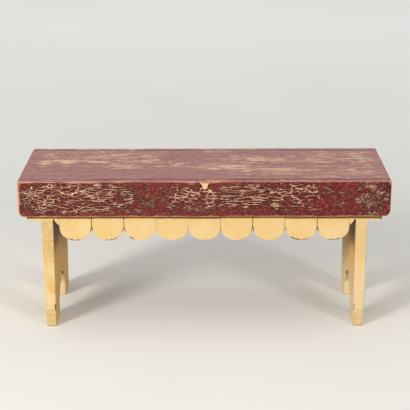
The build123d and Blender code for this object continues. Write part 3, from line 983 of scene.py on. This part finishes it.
def make_stave(name, ways, seed, left_gap, right_gap, worn_edge):
    low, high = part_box(name)
    draw = np.random.default_rng(seed)
    facing = 1 if ways is FRONT else -1
    middle = facing * (low.x + high.x) / 2
    half = (high.x - low.x) / 2
    left = middle - half - (cad_joint_gap - left_gap) / 2 * MM
    right = middle + half + (cad_joint_gap - right_gap) / 2 * MM
    bottom = low.z + draw.uniform(0, stave_end_spread)
    spring = bottom + stave_end_rise
    centre, radius = (left + right) / 2, (right - left) / 2
    turns = np.linspace(np.pi, 0, 2 * stave_end_arcs + 1)
    ends = [(centre + radius * np.cos(turn), spring - stave_end_rise * np.sin(turn)) for turn in turns]
    arcs = [(ends[2 * arc + 1], ends[2 * arc + 2], stave_end_step) for arc in range(stave_end_arcs)]
    corners = [(right, high.z), (left, high.z), ends[0]]
    outline = chain(ends[0], *arcs, *((corner, stave_side_step) for corner in corners))

    def arris(points):
        lower = smooth(spring + 4 * MM, spring - 8 * MM, points[:, 1])
        joint = (0.35 + 0.4 * np.where(points[:, 0] < centre, left_gap, right_gap)) * MM
        top = points[:, 1] > high.z - 0.5 * MM
        return np.where(top, stave_top_arris, joint * (1 - lower) + stave_end_arris * lower)

    board = Board(outline, high.y - low.y, arris, stave_step, seed=seed, wall=stave_step, uneven=0.35)
    u, v = board.flat_u, board.flat_v
    board.dent(0.07, 0.14 * MM, seed)
    lower = smooth(spring, bottom + 6 * MM, v)
    gap = np.where(board.u < centre, left_gap, right_gap)
    # Painted shade in the joints: on the staves' sides, darker the wider the gap, and in the narrow V where
    # two round ends part
    side = (np.abs(board.u - centre) > half - 1.5 * MM) & (board.depth > 1.0 * MM)
    corner = smooth(spring + 11 * MM, spring - 2 * MM, v) * smooth(spring - 14 * MM, spring - 8 * MM, v)
    corner = corner * smooth(2.4 * MM, 0.8 * MM, board.rim)
    if worn_edge:
        first, last = worn_edge
        off = (u - centre) / MM
        bitten = smooth(first - 3, first + 2, off) * (1 - smooth(last - 2, last + 3, off))
        bitten = bitten * (0.8 + 0.3 * wander(u, v, 0.02, seed + 7))
        edge = 1.1 * smooth(2.8 * MM, 1.3 * MM, board.rim)
    else:
        bitten = smooth(0.25, 0.7, wander(u, v, 0.05, seed + 7) * draw.uniform(0.4, 1.0))
        edge = 0.7 * smooth(2.2 * MM, 0.4 * MM, board.rim)
    # A faint even painted shade over the whole stave; the line under the seat is dirt and painted shadow
    board.values = {
        "stain": 0.14 * (wander(u, v, 0.05, seed + 3) + 0.9), "shade": np.full(len(u), 0.05),
        "grime": most((0.2 + 0.45 * gap) * side, (0.25 + 0.3 * gap) * corner, edge * lower * bitten,
                      under_seat_dirt_and_shadow(v, high.z)),
    }
    board.make(name, ways, apron_paint, "yellow_paint")


def make_end_stave(name, ways, seed):
    low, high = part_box(name)
    facing = 1 if ways is FRONT else -1
    side = -1 if facing * (low.x + high.x) < 0 else 1
    tail, joint = max(abs(low.x), abs(high.x)), min(abs(low.x), abs(high.x))
    top, base = high.z, shoulder_height
    leg_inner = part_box("leg_right")[0].x
    neck_x = leg_inner - bit_relief
    neck_z, bit_z = top - bit_neck, top - bit_drop
    wide, tall = neck_x - joint, neck_z - bit_z
    out = bit_bulge / math.hypot(wide, tall)
    middle = ((joint + neck_x) / 2 + out * tall, (neck_z + bit_z) / 2 - out * wide)
    turn = strip_corner * (1 - math.sqrt(0.5))
    outline = chain(
        (joint, top),
        ((joint, bit_z), stave_side_step),
        (middle, (neck_x, neck_z), bit_step),
        ((leg_inner, neck_z), bit_step),
        ((leg_inner, base), strip_corner_step),
        ((tail - strip_corner, base), stave_side_step),
        ((tail - turn, base + turn), (tail, base + strip_corner), strip_corner_step),
        ((tail, top), strip_tail_step),
        ((joint, top), stave_side_step),
    )
    if side < 0:
        outline = (outline * [-1, 1])[::-1]
    board = Board(outline, high.y - low.y, strip_arris, stave_step, seed=seed, wall=stave_step,
                  back_arris=strip_back_arris)
    x, z = side * board.flat_u / MM, board.flat_v / MM
    spot = np.exp(-((x - strip_spot[0]) ** 2 + (z - strip_spot[1]) ** 2) / (2 * strip_spot_reach ** 2))
    grime = np.maximum(under_seat_dirt_and_shadow(board.flat_v, top), spot * strip_spot_strength[side])
    board.values = {"stain": 0.25 * smooth(455, 478, x), "grime": grime}
    board.make(name, ways, apron_paint, "yellow_paint")


stave_count = sum(n.startswith("stave_front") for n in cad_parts)
for index in range(stave_count):
    gaps = joint_gaps[index:index + 2]
    seed = 60 + 17 * index
    make_stave(f"stave_front_{index + 1}", FRONT, seed, *gaps, worn_edges.get(index + 1))
    make_stave(f"stave_back_{index + 1}", BACK, seed + 1, *reversed(gaps), None)
for number, (side, ways) in enumerate((("front", FRONT), ("back", BACK))):
    make_end_stave(f"end_stave_{side}_left", ways, 300 + 2 * number)
    make_end_stave(f"end_stave_{side}_right", ways, 301 + 2 * number)


# ---------------------------------------------------------------- legs

scribe_half_width, scribe_depth = 1.3 * MM, 0.7 * MM
# Boxes of a leg with a finer mesh, at its nicks, in millimetres, and the spacing
leg_fine = (((139, 148, 47, 75), 1.3), ((-148, -139, 47, 75), 1.3))
# Marks on the legs' front edges: height and reach, place across and reach, in millimetres
left_spots = ((255, 2.5, 29, 3),)
right_bites = ((163, 4, 31, 2), (172, 3, 31, 2), (236, 4, 31, 2))
right_foot_stain = (22, 20, 28, 6)
# The stain that runs down the left leg's front edge: place across and height of its ends
left_stain_run = ((5, 160), (24, 108))
# How much painted shade a leg's inner face has with its height in millimetres
inner_painted_shade = ((0, 60, 150, 240, 320), (0.8, 0.65, 0.5, 0.85, 1.0))
# How strong each leg's marks, painted shade and paler places are, left and right
leg_wear = {
    -1: {"run": 0.9, "spot": 0.6, "front": 0.38, "front_painted_shade": 0.12, "inner": 1.0, "front_pale": 0.2},
    1: {"run": 0.6, "spot": 0.5, "front": 0.28, "front_painted_shade": 0.1, "inner": 0.85, "front_pale": 0.45},
}


class LegBoard(Board):
    """A leg panel: it thins towards the floor and has a V filed into each upright corner."""

    def settle(self, side):
        self.side = side
        inner = leg_taper * np.clip(1 - self.v / leg_taper_top, 0, 1)
        outer = foot_taper * np.clip(1 - self.v / foot_taper_top, 0, 1)
        share = self.depth / self.thickness
        self.depth = outer + share * (self.thickness - inner - outer)

    def reshape(self, where):
        low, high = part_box("leg_right")
        inner_x = low.x + leg_taper * (1 - nick_height / leg_taper_top)
        cut = nick_depth * np.clip(1 - np.abs(where[:, 2] - nick_height) / nick_half_height, 0, 1)
        for corner_x, out_x in ((high.x, 1), (inner_x, -1)):
            for out_y in (-1, 1):
                into = np.array([-self.side * out_x, -out_y]) * math.sqrt(0.5)
                corner = np.array([self.side * corner_x, out_y * high.y])
                reach = (where[:, :2] - corner) @ into
                push = np.where(cut > 0, np.clip(cut - reach, 0, None), 0)
                where[:, :2] += push[:, None] * into
        return where


def leg_outline(half, top):
    shelf, shoulder = shoulder_half_depth, shoulder_height
    arch, (haunch_y, haunch_z) = arch_half_width, arch_haunch
    nick_low, nick_top = nick_height - nick_margin, nick_height + nick_margin
    return chain(
        (-half, 0),
        ((-arch, 0), foot_step),
        ((-arch, arch_spring), arch_step),
        ((-haunch_y, haunch_z), (0, arch_top), arch_step),
        ((haunch_y, haunch_z), (arch, arch_spring), arch_step),
        ((arch, 0), arch_step),
        ((half, 0), foot_step),
        ((half, nick_low), foot_step),
        ((half, nick_top), nick_step),
        ((half, shoulder), leg_step),
        ((shelf, shoulder), arch_step),
        ((shelf, top), leg_step),
        ((-shelf, top), leg_step),
        ((-shelf, shoulder), leg_step),
        ((-half, shoulder), arch_step),
        ((-half, nick_top), leg_step),
        ((-half, nick_low), nick_step),
        ((-half, 0), foot_step),
    )


def leg_spot(x, z, mark):
    height, tall, place, wide = mark
    return np.exp(-((z - height) / tall) ** 2 - ((x - place) / wide) ** 2)


def left_stain(x, z, ragged):
    along, off = near_line(x, z, *left_stain_run)
    run = smooth(19, 3, off * ragged) * (0.5 + 0.45 * along)
    blot = smooth(1, 0.1, np.hypot((x - 7) / 9, (z - 194) / 24) * ragged)
    return np.maximum(run, 0.6 * blot)


def leg_values(board, u, half, side, scribed, seed):
    """Stains, grime, painted shade, painted light and paler places of a leg, on its front edge, its arch and
    its inner face.
    """
    v, across = board.v, board.depth
    x, z = across / MM, v / MM
    wear = leg_wear[side]
    front = (side * u < 0) & (np.abs(u) > half - 3.5 * MM)
    by_front = np.abs(u) > half - 5 * MM
    inner_edge = board.thickness - leg_taper * np.clip(1 - v / leg_taper_top, 0, 1) - across
    inside_face = smooth(board.thickness * 0.8, board.thickness * 0.95, across) * (np.abs(u) < half - 1 * MM)
    arch = chain((0, arch_top), (arch_haunch, (arch_half_width, arch_spring), 1 * MM))
    under_arch = np.abs(v - np.interp(np.abs(u), *arch.T)) < 1 * MM
    beside_arch = np.abs(np.abs(u) - arch_half_width) < 1 * MM
    wall = np.where(v > arch_spring, under_arch, beside_arch)

    nick = np.clip(1 - np.abs(v - nick_height) / (nick_half_height * 0.8), 0, 1)
    over_nick = (v - nick_height) / MM
    run = smooth(-24, -10, over_nick) * smooth(9, 2, over_nick)
    # Darkened, in order: the scribed line; painted shade in the nicks and along the inner corner beside them;
    # small dark marks; painted shade of the seat on the upper front edge; painted shade at the top of the
    # arch; painted shade of the seat on the inner face; the foot's lowest 8 mm and the front edge below the
    # nicks
    grime = most(
        0.8 * scribed * (0.7 + 0.3 * wander(v, across, 0.012, seed)),
        0.4 * nick * smooth(4.5, 1.0, x) * by_front,
        wear["run"] * run * smooth(3.6 * MM, 1.2 * MM, inner_edge) * by_front,
        *(wear["spot"] * leg_spot(x, z, mark) * front for mark in (left_spots if side < 0 else right_bites)),
        wear["front"] * front * smooth(140, 220, z),
        0.9 * wall * smooth(60, 95, z),
        wear["inner"] * inside_face * smooth(150, 290, z),
        0.2 * smooth(8, 0, z),
        0.36 * front * smooth(58, 50, z),
    )
    # Painted shade on the inner face, strongest near the seat; on the right leg only above its lit lower part
    dark = np.interp(z, *inner_painted_shade)
    # The front edges paler at middle height; painted light on the arch walls near the floor
    bleached = wear["front_pale"] * front * smooth(250, 150, z) * smooth(20, 60, z)
    bleached += 0.45 * wall * smooth(85, 60, z)
    if side < 0:
        stain = left_stain(x, z, 1 + 0.3 * wander(across, v, 0.02, seed)) * front
    else:
        # A thin dark line down the right leg's outer front arris
        line = smooth(1.8, 0.8, x) * smooth(165, 185, z) * smooth(300, 280, z) * front
        grime = np.maximum(grime, line * (0.55 + 0.3 * wander(v, across, 0.03, seed)))
        stain = np.maximum(0.6 * leg_spot(x, z, right_foot_stain) * front, 0.7 * wall * smooth(35, 55, z))
        dark = dark * np.interp(z, (80, 240), (0.0, 1.0))
        # Painted light on the right leg's lower inner face
        bleached += 0.95 * inside_face * smooth(140, 50, z)
    shade = np.maximum(inside_face * dark, wear["front_painted_shade"] * front * smooth(120, 260, z))
    return {"stain": stain, "grime": grime, "shade": shade, "bleached": bleached}


def make_leg(name, ways, seed):
    low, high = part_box(name)
    side = -1 if ways is LEFT else 1
    half = high.y

    def arris(points):
        upright = np.abs(points[:, 0]) > half - SAME
        return np.where(upright & (points[:, 1] < shoulder_height - 2 * MM), leg_arris, leg_inner_arris)

    board = LegBoard(leg_outline(half, high.z), high.x - low.x, arris, leg_step, back_arris=leg_arris,
                     wall=leg_wall_step, uneven=0.2, seed=seed, fine=fine_boxes(leg_fine),
                     back_grid=leg_step)
    board.settle(side)
    u = board.u
    scribed = np.clip(1 - np.abs(board.v - scribe_height) / scribe_half_width, 0, 1)
    scribed = scribed * (np.abs(u) > half - 0.3 * MM)
    board.u = u - np.sign(u) * scribed * scribe_depth
    board.values = leg_values(board, u, half, side, scribed, seed)
    board.make(name, ways, apron_paint, "yellow_paint")


make_leg("leg_left", LEFT, 401)
make_leg("leg_right", RIGHT, 409)


# ---------------------------------------------------------------- inner pieces that keep their CAD shape

board_bevel = 0.7 * MM
screw_bevel = 0.3 * MM
weld_reach = 0.01 * MM
bevel_angle = math.radians(40)


def dress(name, material, bevel):
    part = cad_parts[name]
    part.data.materials.clear()
    part.data.materials.append(material)
    weld = part.modifiers.new("weld", "WELD")
    weld.merge_threshold = weld_reach
    soften = part.modifiers.new("soften", "BEVEL")
    soften.width = bevel
    soften.segments = 2
    soften.limit_method = "ANGLE"
    soften.angle_limit = bevel_angle


for material, bevel, names in (
    (pine_along, board_bevel, ("seat_ledger_front", "seat_ledger_back")),
    (pine_rail_aged_and_shaded, board_bevel, ("apron_rail_front", "apron_rail_back")),
    (pine_across, board_bevel,
     ("seat_batten_left", "seat_batten_right", "leg_cleat_left", "leg_cleat_right")),
    (steel, screw_bevel,
     ("apron_screws", "face_screws", "top_screws", "batten_screws", "cleat_screws")),
):
    for name in names:
        dress(name, material, bevel)


# ---------------------------------------------------------------- stage, light and camera

floor_reach = 40.0
floor_grey, floor_pale = tint(240, 239, 236), tint(244, 243, 240)
floor_bounce = tint(168, 156, 138)
ambient_colour, ambient_strength = (1.0, 0.99, 0.97, 1), 0.42
backdrop_colour, backdrop_strength = (0.95, 0.96, 0.97, 1), 1.0
warm_light, soft_light = (1.0, 0.97, 0.93), (1.0, 0.98, 0.95)


def floor_finish():
    """A pale floor to look at, which throws back no more light than a worn workshop floor."""
    f = Finish("floor")
    slow = f.noise(f.place(), 1.2, 2.0)
    pale = f.mix(f.step(slow, 0.3, 0.7), floor_grey, floor_pale)
    seen = f.seen()
    f.links.new(f.mix(seen, floor_bounce, pale), f.shader.inputs["Base Color"])
    far = f.step(f.split(f.place())[1], 0.0, 5.0, 0.04, 0.3)
    f.links.new(f.times(seen, far), f.shader.inputs["Emission Strength"])
    f.shader.inputs["Roughness"].default_value = 0.85
    f.shader.inputs["Specular IOR Level"].default_value = 0.2
    return f.material


floor_mesh = bpy.data.meshes.new("floor")
floor_corners = [(x * floor_reach, y * floor_reach, 0) for x, y in ((-1, -1), (1, -1), (1, 1), (-1, 1))]
floor_mesh.from_pydata(floor_corners, [], [(0, 1, 2, 3)])
floor_mesh.materials.append(floor_finish())
floor = bpy.data.objects.new("floor", floor_mesh)
bpy.context.scene.collection.objects.link(floor)

world = bpy.data.worlds.new("studio")
bpy.context.scene.world = world
sky = Tree(world)
ambient = sky.add("Background", {0: ambient_colour, 1: ambient_strength})
backdrop = sky.add("Background", {0: backdrop_colour, 1: backdrop_strength})
both = sky.add("MixShader", {0: sky.seen(), 1: ambient.outputs[0], 2: backdrop.outputs[0]})
sky.add("OutputWorld", {0: both.outputs[0]})


def area_light(name, spot, target, size, power, colour):
    lamp = bpy.data.lights.new(name, "AREA")
    lamp.shape = "DISK"
    lamp.size = size
    lamp.energy = power
    lamp.color = colour
    made = bpy.data.objects.new(name, lamp)
    bpy.context.scene.collection.objects.link(made)
    made.location = spot
    made.rotation_euler = (Vector(target) - Vector(spot)).to_track_quat("-Z", "Y").to_euler()


area_light("key", (-3.8, -3.9, 2.6), (0, 0, 0.25), 1.6, 204, warm_light)
area_light("fill", (3.4, -4.0, 2.2), (0, 0, 0.25), 1.0, 76, warm_light)
area_light("overhead", (0, -0.6, 3.4), (0, 0, 0.3), 3.0, 17, soft_light)

# Lens, place and axes of the camera that was fitted to the photograph
camera_data = bpy.data.cameras.new("camera")
camera_data.sensor_fit = "HORIZONTAL"
camera_data.sensor_width = 36.0
camera_data.lens = 101.3735
camera_data.clip_end = 200
camera = bpy.data.objects.new("camera", camera_data)
bpy.context.scene.collection.objects.link(camera)
right = (0.999992, 0.002534, -0.002968)
down = (-0.001987, -0.324114, -0.946016)
ahead = (-0.003359, 0.946015, -0.324107)
place = (0.0123, -3.0868, 1.3621)
rows = [(right[i], -down[i], -ahead[i], place[i]) for i in range(3)]
camera.matrix_world = Matrix(rows + [(0, 0, 0, 1)])
bpy.context.scene.camera = camera

bpy.context.scene.view_settings.view_transform = "Standard"
